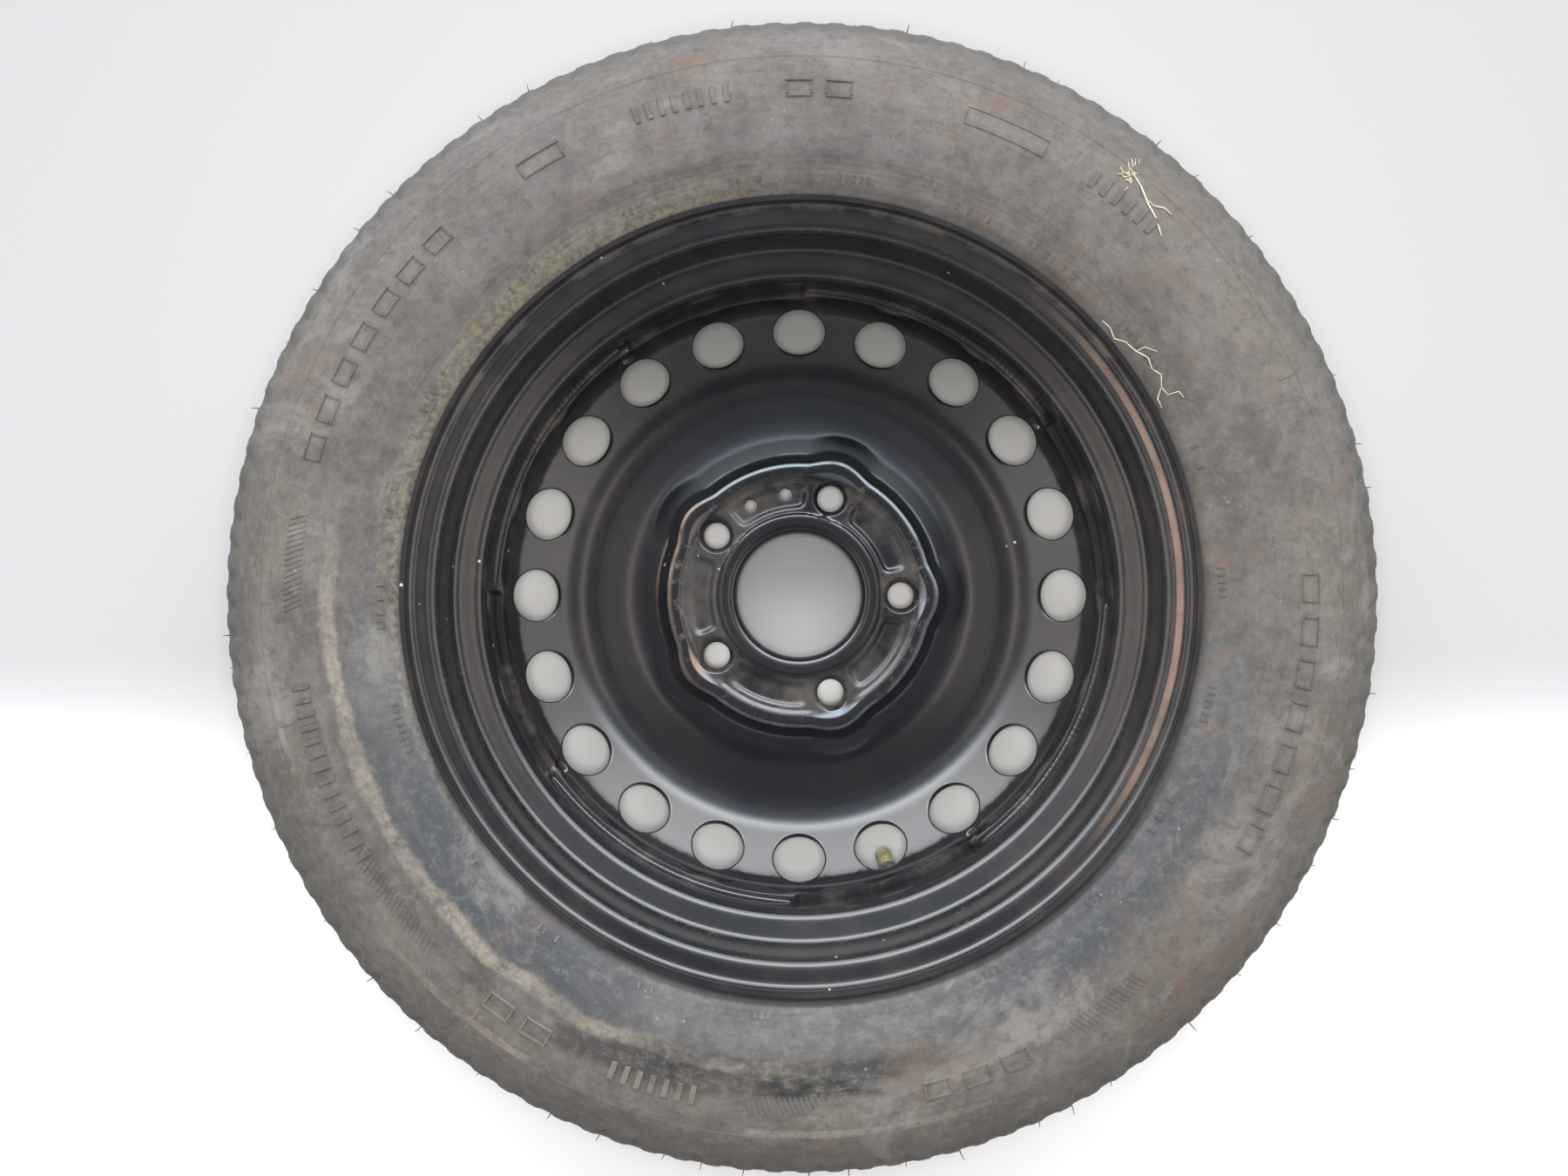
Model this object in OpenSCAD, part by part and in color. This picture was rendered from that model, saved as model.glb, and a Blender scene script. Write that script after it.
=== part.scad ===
// Spare wheel for temporary use: tyre on a pressed steel wheel, lying flat.
// Frame: wheel axis on +Z, side that faces the car up, origin at the wheel's centre.

/* [Rim] */
// Diameter of the bead seats, mm
rim_dia = 380.2; // [378:0.1:382]
// Width between the tyre sides of the two flanges, mm
rim_width = 88.9; // [86:0.1:94]
// Height of the flanges above the bead seats, mm
flange_height = 14.1; // [12.5:0.1:15]
// Thickness of the rim sheet, mm
rim_sheet = 2.5; // [2:0.1:2.8]
// Radius inside the well, mm
well_r = 170.5; // [169:0.1:172]

/* [Disc] */
// Thickness of the disc sheet, mm
disc_sheet = 3.8; // [3.2:0.1:4]
// Radius of the centre bore, mm
bore_r = 36.3; // [35.5:0.1:36.8]
// Height of the mounting face, mm from the wheel's middle plane, minus is away from the car
mount_z = -33.5; // [-34.5:0.1:-32.5]
// Number of wheel bolts
bolt_count = 5; // [5:1:5]
// Bolt circle diameter, mm
bolt_pcd = 120; // [118:0.1:121]
// Diameter of a bolt hole at its narrowest, mm
bolt_hole_dia = 15; // [13:0.1:15.5]
// Number of vent holes
vent_count = 20; // [10:1:20]
// Diameter of a vent hole, mm
vent_dia = 30; // [24:0.5:30.5]
// Depth of the pockets between the bolt pads, mm
pocket_depth = 3; // [1.5:0.1:3.2]
// Diameter of the two small locating holes, mm
locating_dia = 7.5; // [6:0.1:8]
// Diameter of the four drain holes in the disc's skirt, mm
drain_dia = 11; // [8:0.5:11.5]

/* [Tyre] */
// Diameter of the tread at the middle, mm
tyre_dia = 606; // [600:1:612]
// Largest width over the side walls, mm
tyre_width = 128; // [124:0.5:131]
// Number of notches around each shoulder
notch_count = 116; // [20:2:116]
// Depth of the grooves that run around the tread, mm
groove_depth = 3.4; // [2:0.1:4]

/* [Valve] */
// Radius of the valve hole in the rim, mm
valve_hole_r = 5.75; // [5.65:0.05:5.85]
// Position of the valve around the wheel, degrees
valve_angle = -72; // [-76:0.5:-68]

/* [View] */
// Sub-part to draw

/* [Hidden] */
$fn = 120;

seat_r = rim_dia / 2;
half_w = rim_width / 2;
flange_r = seat_r + flange_height;
roll_r = 7.5;
roll_c = [flange_r - roll_r, half_w + roll_r];
taper = tan(5);
seat_in = seat_r - rim_sheet;
skirt_r = well_r - disc_sheet;
skirt_top = -1.5;
skirt_low = -6;
cone = 40;
vent_c = [152.2, mount_z + 4.3];
recess = 1.2;
pad_z = mount_z - recess;
crown_r = tyre_dia / 2;
side_z = tyre_width / 2;

// valve: point where its axis meets the well wall, and the tilt of that axis
valve_at = [178, -22.5];
valve_tilt = 180 + 31.6;

function unit(v) = v / norm(v);
function left(v) = [-v[1], v[0]];
function arc(c, r, a0, a1, n) =
    [for (i = [0 : n]) c + r * [cos(a0 + (a1 - a0) * i / n), sin(a0 + (a1 - a0) * i / n)]];

// arc of radius r that rounds the corner b between a and c
function corner(a, b, c, r, n) =
    let (u = unit(a - b), v = unit(c - b),
         h = acos(max(-1, min(1, u * v))) / 2,
         m = b + unit(u + v) * r / sin(h),
         s = b + u * r / tan(h) - m,
         e = b + v * r / tan(h) - m,
         a0 = atan2(s[1], s[0]),
         d = (atan2(e[1], e[0]) - a0 + 540) % 360 - 180)
    arc(m, r, a0, a0 + d, n);

// polyline with its inner corners rounded; each entry is [x, y, radius]
function rounded(p, n = 5) =
    [for (i = [0 : len(p) - 1])
        let (q = [p[i][0], p[i][1]])
        each ((i == 0 || i == len(p) - 1 || p[i][2] == 0) ? [q]
            : corner([p[i-1][0], p[i-1][1]], q, [p[i+1][0], p[i+1][1]], p[i][2], n))];

// the same polyline moved t to its left
function beside(p, t) =
    [for (i = [0 : len(p) - 1])
        let (a = left(unit(p[min(i + 1, len(p) - 1)] - p[min(i, len(p) - 2)])),
             b = left(unit(p[max(i, 1)] - p[max(i - 1, 0)])))
        p[i] + t * (a + b) / (1 + a * b)];

function backwards(p) = [for (i = [len(p) - 1 : -1 : 0]) p[i]];
function sheet(p, t) = concat(p, backwards(beside(p, t)));
function flipped(p) = [for (q = backwards(p)) [q[0], -q[1]]];

// face of the rim that is seen from inside the wheel, from the upper flange's edge down
rim_roll = arc(roll_c, roll_r - rim_sheet, 20, -90, 6);
rim_mid = rounded([
    [roll_c[0], half_w + rim_sheet, 0],
    [seat_in + 0.4, half_w + rim_sheet, 5],
    [seat_in - 18.4 * taper, 23.7, 3.5],
    [well_r, 18.5, 5],
    [well_r, -17.9, 6],
    [seat_in - 14.4 * taper, -27.5, 3.5],
    [seat_in + 0.4, -half_w - rim_sheet, 5],
    [roll_c[0], -half_w - rim_sheet, 0]]);
rim_face = concat(rim_roll, [for (i = [1 : len(rim_mid) - 2]) rim_mid[i]], flipped(rim_roll));

// face of the disc that is turned to the car, from the skirt's edge to the bore's edge
disc_face = rounded([
    [skirt_r, skirt_top, 0],
    [skirt_r, vent_c[1] + (skirt_r - vent_c[0]) * tan(cone), 9],
    [130.5, vent_c[1] - (vent_c[0] - 130.5) * tan(cone), 34],
    [98, mount_z - 12.1, 90],
    [79.4, mount_z - 4.7, 3],
    [76.2, mount_z, disc_sheet + 0.7],
    [69.9, mount_z, disc_sheet + 0.7],
    [68.3, pad_z, 0.4],
    [47.6, pad_z, 0.6],
    [46.0, mount_z, disc_sheet + 0.7],
    [bore_r, mount_z, disc_sheet + 1.7],
    [bore_r, mount_z - 11, 0]], 4);

module ring(p) { rotate_extrude() polygon(p); }

module sector(r0, r1, z0, z1, a, half) {
    rotate([0, 0, a - half])
        rotate_extrude(angle = 2 * half)
            translate([r0, z0]) square([r1 - r0, z1 - z0]);
}

// puts a shape that is built along +Z on the valve's axis, cap end outwards
module at_valve() {
    rotate([0, 0, valve_angle])
        translate([valve_at[0], 0, valve_at[1]])
            rotate([0, valve_tilt, 0])
                children();
}

// ---- tyre ----------------------------------------------------------------

tyre_outer = rounded([
    [seat_r - 14.5 * taper + 0.15, half_w - 17.5, 0],
    [seat_r + 0.4, half_w - 0.25, 3],
    [flange_r - roll_r + 0.2, half_w - 0.25, 0]], 4);
tyre_hug = arc(roll_c, roll_r + 0.25, -86, -14, 5);
tyre_side = rounded([
    [flange_r + 1.9, half_w + 7.2, 0],
    [flange_r + 5.5, half_w + 10.6, 5],
    [226, side_z - 2.2, 30],
    [250, side_z + 0.4, 30],
    [276, side_z - 4.8, 40],
    [crown_r - 7, side_z - 20.5, 24],
    [crown_r - 2.8, half_w - 6.6, 2],
    [crown_r - 0.9, 20, 60],
    [crown_r, 0, 0]], 5);
tyre_inner = rounded([
    [crown_r - 9.5, 0, 0],
    [crown_r - 10.5, 24, 60],
    [crown_r - 17, side_z - 22, 24],
    [268, side_z - 10.5, 60],
    [238, side_z - 6.2, 40],
    [215, side_z - 14.5, 24],
    [200, half_w - 14, 10],
    [seat_r + 0.6, half_w - 19, 2],
    [seat_r - 14.5 * taper + 0.15, half_w - 17.5, 0]], 4);
tyre_half = concat(tyre_outer, tyre_hug, tyre_side);
function tail(p, n = 0) = [for (i = [1 : len(p) - 1 - n]) p[i]];
tyre_section = concat(tyre_half, tail(flipped(tyre_half)),
                      tail(flipped(tyre_inner)), tail(tyre_inner, 1));

module tyre() {
    color([0.33, 0.33, 0.33])
    difference() {
        ring(tyre_section);
        // grooves that run around the tread
        for (z = [-24, 0, 24])
            rotate_extrude()
                translate([crown_r - groove_depth, z - 2.2]) square([10, 4.4]);
        // notches around both shoulders
        for (s = [-1, 1], i = [0 : notch_count - 1])
            rotate([0, 0, (i + (s + 1) / 4) * 360 / notch_count])
                translate([crown_r - 4.2, -2.4, s * (side_z - 20) - 9])
                    rotate([s * 24, 0, 0])
                        cube([12, 4.4, 16]);
    }
}

// ---- steel wheel -----------------------------------------------------------

module rim() {
    color([0.06, 0.06, 0.07])
    difference() {
        ring(sheet(rim_face, rim_sheet));
        at_valve() translate([0, 0, -8]) cylinder(r = valve_hole_r, h = 14);
    }
}

// bulge of the mounting face around one bolt
module lobe() {
    intersection() {
        translate([62.6, 0, mount_z - 0.05])
            rotate_extrude()
                polygon(concat([[0, -7.9], [17.3, -7.9]],
                               arc([12.6, -4.2], 4.2, 0, 90, 3), [[0, 0]]));
        translate([0, 0, mount_z - 10])
            rotate_extrude() translate([72.6, 0]) square([12, 12]);
    }
}

// collar for one bolt on the side away from the car
module bolt_collar() {
    translate([bolt_pcd / 2, 0, 0])
        rotate_extrude()
            polygon([[0, pad_z - 1.9], [15.2, pad_z - 1.9], [12.3, mount_z - 9.5],
                     [11.6, mount_z - 15.5], [0, mount_z - 15.5]]);
}

module bolt_bore() {
    r = bolt_hole_dia / 2;
    translate([bolt_pcd / 2, 0, 0])
        rotate_extrude()
            polygon([[0, mount_z + 3], [r + 3.5, mount_z + 3], [r + 2.7, pad_z - 0.2],
                     [r + 1.2, pad_z - 1.3], [r + 0.3, pad_z - 3.2], [r, pad_z - 5.6],
                     [r, mount_z - 12], [r + 2.6, mount_z - 16.5], [0, mount_z - 16.5]]);
}

module wheel_disc() {
    color([0.06, 0.06, 0.07])
    difference() {
        union() {
            ring(sheet(disc_face, disc_sheet));
            for (i = [0 : bolt_count - 1])
                rotate([0, 0, i * 360 / bolt_count]) {
                    lobe();
                    bolt_collar();
                    // back of a pocket
                    sector(49.6, 66.7, pad_z - disc_sheet - pocket_depth, pad_z - disc_sheet + 0.5,
                           180 / bolt_count, 24);
                }
        }
        // pockets between the bolts
        for (i = [0 : bolt_count - 1])
            rotate([0, 0, i * 360 / bolt_count]) {
                sector(51, 65.3, pad_z - pocket_depth, mount_z + 2, 180 / bolt_count, 22.5);
                bolt_bore();
            }
        // vent holes, square to the cone
        for (i = [0 : vent_count - 1])
            rotate([0, 0, 90 + i * 360 / vent_count])
                translate([vent_c[0], 0, vent_c[1]])
                    rotate([0, -cone, 0])
                        translate([0, 0, -14]) cylinder(d = vent_dia, h = 24);
        // two small locating holes in one pocket
        for (a = [97.6, 118.4])
            rotate([0, 0, a]) translate([60, 0, mount_z - 14])
                cylinder(d = locating_dia, h = 16);
        // drain holes in the skirt
        for (a = [36 : 90 : 306])
            rotate([0, 0, a])
                translate([skirt_r, 0, -11.2])
                    rotate([0, 102, 0])
                        translate([0, 0, -8]) cylinder(d = drain_dia, h = 20);
        // the skirt is lower between its four long edges
        for (a = [17.5 : 90 : 287.5])
            sector(skirt_r - 6, well_r + 6, skirt_low, skirt_top + 4, a, 17.5);
    }
}

// beads that join the four long edges of the skirt to the well
module rim_disc_welds() {
    color([0.08, 0.08, 0.09])
    for (a = [62.5 : 90 : 332.5])
        rotate([0, 0, a - 26.5])
            rotate_extrude(angle = 53)
                polygon([[well_r, skirt_top], [well_r, skirt_top + 2.9], [well_r - 0.9, skirt_top + 2.7],
                         [well_r - 2.2, skirt_top + 1.7], [well_r - 3.1, skirt_top]]);
}

// ---- valve ------------------------------------------------------------------

module valve_body() {
    color([0.10, 0.10, 0.10])
    difference() {
        at_valve()
            rotate_extrude()
                polygon([[3, -10], [6.6, -10], [8.8, -8], [9.5, -5.4], [9.5, -2.2], [valve_hole_r, -2.2],
                         [valve_hole_r, -0.4], [7.7, -0.4], [7.7, 2.6], [6.4, 6], [5.9, 17.4],
                         [5.1, 18.6], [3.85, 18.6], [3.85, 16.4], [3, 16]]);
        rim();
    }
}

module valve_stem() {
    color([0.72, 0.58, 0.28])
    at_valve()
        rotate_extrude()
            polygon([[1.95, -9.6], [3, -9.6], [3, 16], [3.85, 16.4], [3.85, 27.4], [3.3, 28],
                     [2.7, 28], [2.7, 20.6], [2.3, 19.4], [1.95, 19.4]]);
}

module valve_core_plug() {
    color([0.75, 0.62, 0.32])
    at_valve()
        difference() {
            rotate_extrude()
                polygon([[0.62, 20.9], [2.5, 20.9], [2.68, 21.2], [2.68, 24.6], [1.7, 24.8],
                         [1.7, 26.6], [1.4, 26.9], [0.62, 26.9]]);
            for (s = [-1, 1])
                translate([-3, s * 1.9 - 0.9, 24.9]) cube([6, 1.8, 3]);
        }
}

module valve_core_gasket() {
    color([0.75, 0.20, 0.16])
    at_valve()
        rotate_extrude()
            polygon([[1.75, 19.4], [2.25, 19.4], [2.62, 20.6], [2.62, 20.9], [1.75, 20.9]]);
}

module valve_core_barrel() {
    color([0.72, 0.60, 0.32])
    at_valve()
        rotate_extrude()
            polygon([[0.62, 9.5], [1.75, 9.5], [1.75, 20.9], [0.62, 20.9], [0.62, 20.1],
                     [1.25, 19.9], [1.25, 10.4], [0.62, 10.4]]);
}

module valve_core_pin() {
    color([0.78, 0.66, 0.36])
    at_valve()
        rotate_extrude()
            polygon([[0, 5.2], [0.55, 5.2], [0.55, 19.0], [1.1, 19.05], [1.1, 19.6], [0.55, 19.7],
                     [0.55, 27.5], [0.35, 27.8], [0, 27.8]]);
}

// one turn of wire is two half rings, each tilted so that it climbs half the pitch
module valve_core_spring() {
    r = 0.92;
    pitch = 1.37;
    lean = asin(pitch / 4 / r);
    color([0.75, 0.75, 0.77])
    at_valve()
        for (i = [0 : 11])
            translate([0, 0, 10.6 + pitch / 4 + i * pitch / 2])
                rotate([0, 0, i * 180])
                    rotate([0, lean, 0])
                        rotate_extrude(angle = 180, $fn = 72)
                            translate([r, 0]) circle(r = 0.15, $fn = 32);
}

module valve_core_cup() {
    color([0.15, 0.15, 0.15])
    at_valve()
        rotate_extrude()
            polygon([[0.55, 6.8], [1.6, 6.8], [1.75, 7.1], [1.75, 8.9], [1.3, 9.5], [0.55, 9.5]]);
}

module valve_cap() {
    color([0.36, 0.35, 0.24])
    at_valve()
        difference() {
            rotate_extrude()
                polygon([[3.93, 19.2], [4.75, 19.2], [4.75, 29.7], [4.2, 30.4], [0, 30.4],
                         [0, 29.4], [3.93, 29.4]]);
            // grip flutes
            for (i = [0 : 11])
                rotate([0, 0, i * 30]) translate([5.05, 0, 20.6]) cylinder(r = 0.55, h = 7.4, $fn = 24);
        }
}

module valve_cap_seal() {
    color([0.12, 0.12, 0.12])
    at_valve()
        rotate_extrude()
            polygon([[1.2, 28.1], [3.85, 28.1], [3.85, 29.4], [1.2, 29.4]]);
}

tyre();
rim();
wheel_disc();
rim_disc_welds();
valve_body();
valve_stem();
valve_core_plug();
valve_core_gasket();
valve_core_barrel();
valve_core_pin();
valve_core_spring();
valve_core_cup();
valve_cap();
valve_cap_seal();
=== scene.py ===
import math

import bmesh
import bpy
import numpy as np
from mathutils import Matrix, Vector


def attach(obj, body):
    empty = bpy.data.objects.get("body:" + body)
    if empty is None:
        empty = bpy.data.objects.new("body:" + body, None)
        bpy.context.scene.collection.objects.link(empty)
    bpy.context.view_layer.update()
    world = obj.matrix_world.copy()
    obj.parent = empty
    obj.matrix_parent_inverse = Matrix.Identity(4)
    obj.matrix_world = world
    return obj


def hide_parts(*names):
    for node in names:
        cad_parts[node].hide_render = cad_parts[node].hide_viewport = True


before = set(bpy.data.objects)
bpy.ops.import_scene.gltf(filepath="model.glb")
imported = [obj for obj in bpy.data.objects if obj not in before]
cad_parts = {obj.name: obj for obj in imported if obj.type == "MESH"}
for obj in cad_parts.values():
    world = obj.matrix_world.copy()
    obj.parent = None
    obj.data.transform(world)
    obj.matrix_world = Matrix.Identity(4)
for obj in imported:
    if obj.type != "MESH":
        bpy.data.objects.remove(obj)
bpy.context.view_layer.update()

TAU = 2 * math.pi
MM = 0.001
rad = math.radians


# ---------------------------------------------------------------- small tools

def smooth(a, b, x):
    t = np.clip((np.asarray(x, float) - a) / (b - a), 0, 1)
    return t * t * (3 - 2 * t)


def wrap(a):
    return (np.asarray(a, float) + math.pi) % TAU - math.pi


def corner(a, b, c, r, n):
    a, b, c = (np.array(p, float) for p in (a, b, c))
    u = (a - b) / np.linalg.norm(a - b)
    v = (c - b) / np.linalg.norm(c - b)
    h = math.acos(max(-1, min(1, float(u @ v)))) / 2
    w = (u + v) / np.linalg.norm(u + v)
    m = b + w * r / math.sin(h)
    s = b + u * r / math.tan(h) - m
    e = b + v * r / math.tan(h) - m
    a0 = math.atan2(s[1], s[0])
    d = (math.atan2(e[1], e[0]) - a0 + 3 * math.pi) % TAU - math.pi
    return [m + r * np.array([math.cos(a0 + d * i / n), math.sin(a0 + d * i / n)]) for i in range(n + 1)]


def rounded(points):
    """Polyline of [x, y, radius, steps] with its inner corners rounded."""
    out = []
    for i, p in enumerate(points):
        if i == 0 or i == len(points) - 1 or p[2] == 0:
            out.append(np.array(p[:2], float))
        else:
            n = p[3] if len(p) > 3 else 5
            out += corner(points[i - 1][:2], p[:2], points[i + 1][:2], p[2], n)
    return np.array(out)


def fill_in(p, longest):
    """Adds points so that no step of the polyline is longer than longest (a number or a function of x, y)."""
    out = [p[0]]
    for a, b in zip(p[:-1], p[1:]):
        d = float(np.linalg.norm(b - a))
        if d < 1e-6:
            continue
        lim = longest(*((a + b) / 2)) if callable(longest) else longest
        n = max(1, math.ceil(d / lim))
        out += [a + (b - a) * k / n for k in range(1, n + 1)]
    return np.array(out)


def beside(p, t):
    """The polyline moved t to its left."""
    d = np.diff(p, axis=0)
    d /= np.linalg.norm(d, axis=1)[:, None]
    nrm = np.stack([-d[:, 1], d[:, 0]], 1)
    a = np.vstack([nrm, nrm[-1:]])
    b = np.vstack([nrm[:1], nrm])
    return p + t * (a + b) / (1 + (a * b).sum(1))[:, None]


def arc(cx, cy, r, a0, a1, n):
    a = np.radians(np.linspace(a0, a1, n + 1))
    return np.stack([cx + r * np.cos(a), cy + r * np.sin(a)], 1)


class Builder:
    """Collects vertices in millimetres and faces."""

    def __init__(self):
        self.v, self.n, self.f = [], 0, []

    def add(self, pts):
        pts = np.asarray(pts, float).reshape(-1, 3)
        first = self.n
        self.v.append(pts)
        self.n += len(pts)
        return np.arange(first, first + len(pts))

    def quads(self, a, b, closed=True):
        """Faces between two rows of vertices."""
        a2, b2 = (np.roll(a, -1), np.roll(b, -1)) if closed else (a[1:], b[1:])
        a, b = (a, b) if closed else (a[:-1], b[:-1])
        self.f += np.stack([a, a2, b2, b], 1).tolist()

    def cap(self, ring):
        self.f.append(list(map(int, ring)))

    def mesh(self, name, material, body, replaced=(), sharp=38):
        verts = np.vstack(self.v)
        used = np.zeros(len(verts), bool)
        for f in self.f:
            used[f] = True
        remap = np.cumsum(used) - 1
        faces = [[int(remap[i]) for i in f] for f in self.f]
        me = bpy.data.meshes.new(name)
        me.from_pydata((verts[used] * MM).tolist(), [], faces)
        bm = bmesh.new()
        bm.from_mesh(me)
        bmesh.ops.recalc_face_normals(bm, faces=bm.faces)
        bm.to_mesh(me)
        bm.free()
        me.polygons.foreach_set("use_smooth", np.ones(len(me.polygons), bool))
        if sharp:
            me.set_sharp_from_angle(angle=rad(sharp))
        me.materials.append(material)
        me.update()
        o = bpy.data.objects.new(name, me)
        bpy.context.scene.collection.objects.link(o)
        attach(o, body)
        if replaced:
            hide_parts(*replaced)
        return o


def revolve(b, profile, n, closed=True):
    """Adds a closed (r, z) loop, or an open one, turned around the wheel's axis."""
    th = np.arange(n) * TAU / n
    rows = [b.add(np.stack([r * np.cos(th), r * np.sin(th), np.full(n, z)], 1)) for r, z in profile]
    for i in range(len(rows) - (0 if closed else 1)):
        b.quads(rows[i], rows[(i + 1) % len(rows)])
    return rows


def block_loop(rows, i0, i1, j0, j1):
    """Vertex ids around a block of a grid: columns i0..i1, rows j0..j1."""
    n = len(rows[0])
    loop = [rows[j0][i % n] for i in range(i0, i1)]
    loop += [rows[j][i1 % n] for j in range(j0, j1)]
    loop += [rows[j1][i % n] for i in range(i1, i0, -1)]
    loop += [rows[j][i0 % n] for j in range(j1, j0, -1)]
    uv = [(i, j0) for i in range(i0, i1)] + [(i1, j) for j in range(j0, j1)]
    uv += [(i, j1) for i in range(i1, i0, -1)] + [(i0, j) for j in range(j1, j0, -1)]
    return np.array(loop), np.array(uv, float)


def on_surface(S, c, e1, e2, x, y, th, v):
    """Parameters of the surface's points that lie over (x, y) of a hole's own plane."""
    for _ in range(7):
        p = S(th, v)
        pt = (S(th + 1e-4, v) - p) / 1e-4
        pv = (S(th, v + 1e-3) - p) / 1e-3
        fx, fy = (p - c) @ e1 - x, (p - c) @ e2 - y
        a, b_, c_, d = pt @ e1, pv @ e1, pt @ e2, pv @ e2
        det = a * d - b_ * c_
        det = np.where(np.abs(det) < 1e-9, 1e-9, det)
        th = th - np.clip((d * fx - b_ * fy) / det, -0.05, 0.05)
        v = v - np.clip((a * fy - c_ * fx) / det, -6, 6)
    return th, v


def grid_with_holes(b, S, n, m, holes):
    """One side of a sheet: n columns around, m rows. Returns its rows, and the last ring of each hole."""
    th = np.arange(n) * TAU / n
    rows = [b.add(S(th, np.full(n, float(j)))) for j in range(m)]
    skip = np.zeros((m, n), bool)
    ends = []
    for h in holes:
        i0, i1, j0, j1 = h["block"]
        for j in range(j0, j1):
            for i in range(i0, i1):
                skip[j, i % n] = True
        loop, uv = block_loop(rows, i0, i1, j0, j1)
        c, a, e1 = h["c"], h["axis"], h["e1"]
        e2 = np.cross(a, e1)
        lt, lv = uv[:, 0] * TAU / n, uv[:, 1]
        p = S(lt, lv) - c
        phi = np.arctan2(p @ e2, p @ e1)
        rho = np.hypot(p @ e1, p @ e2)
        ct, cv = lt.mean(), lv.mean()
        rings = [loop]
        first = h["rings"][0][0]
        t, v = on_surface(S, c, e1, e2, first * np.cos(phi), first * np.sin(phi),
                          ct + (lt - ct) * first / rho, cv + (lv - cv) * first / rho)
        k = h.get("between", 2)
        for q in range(1, k + 1):
            w = q / (k + 1)
            rings.append(b.add(S(lt + (t - lt) * w, lv + (v - lv) * w)))
        flat = None
        for ring in h["rings"]:
            r, kind, value = ring[:3]
            x, y = r * np.cos(phi), r * np.sin(phi)
            if kind == "s":
                t, v = on_surface(S, c, e1, e2, x, y, t, v)
                pts = S(t, v) - value * a
            else:
                pts = c + x[:, None] * e1 + y[:, None] * e2 + value * a
            rings.append(b.add(pts))
        for r0, r1 in zip(rings[:-1], rings[1:]):
            b.quads(r0, r1)
        ends.append((rings[-1], phi))
    for j in range(m - 1):
        i = np.nonzero(~skip[j])[0]
        k = (i + 1) % n
        b.f += np.stack([rows[j][i], rows[j][k], rows[j + 1][k], rows[j + 1][i]], 1).tolist()
    return rows, ends


# ------------------------------------------------------------------ materials

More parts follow.
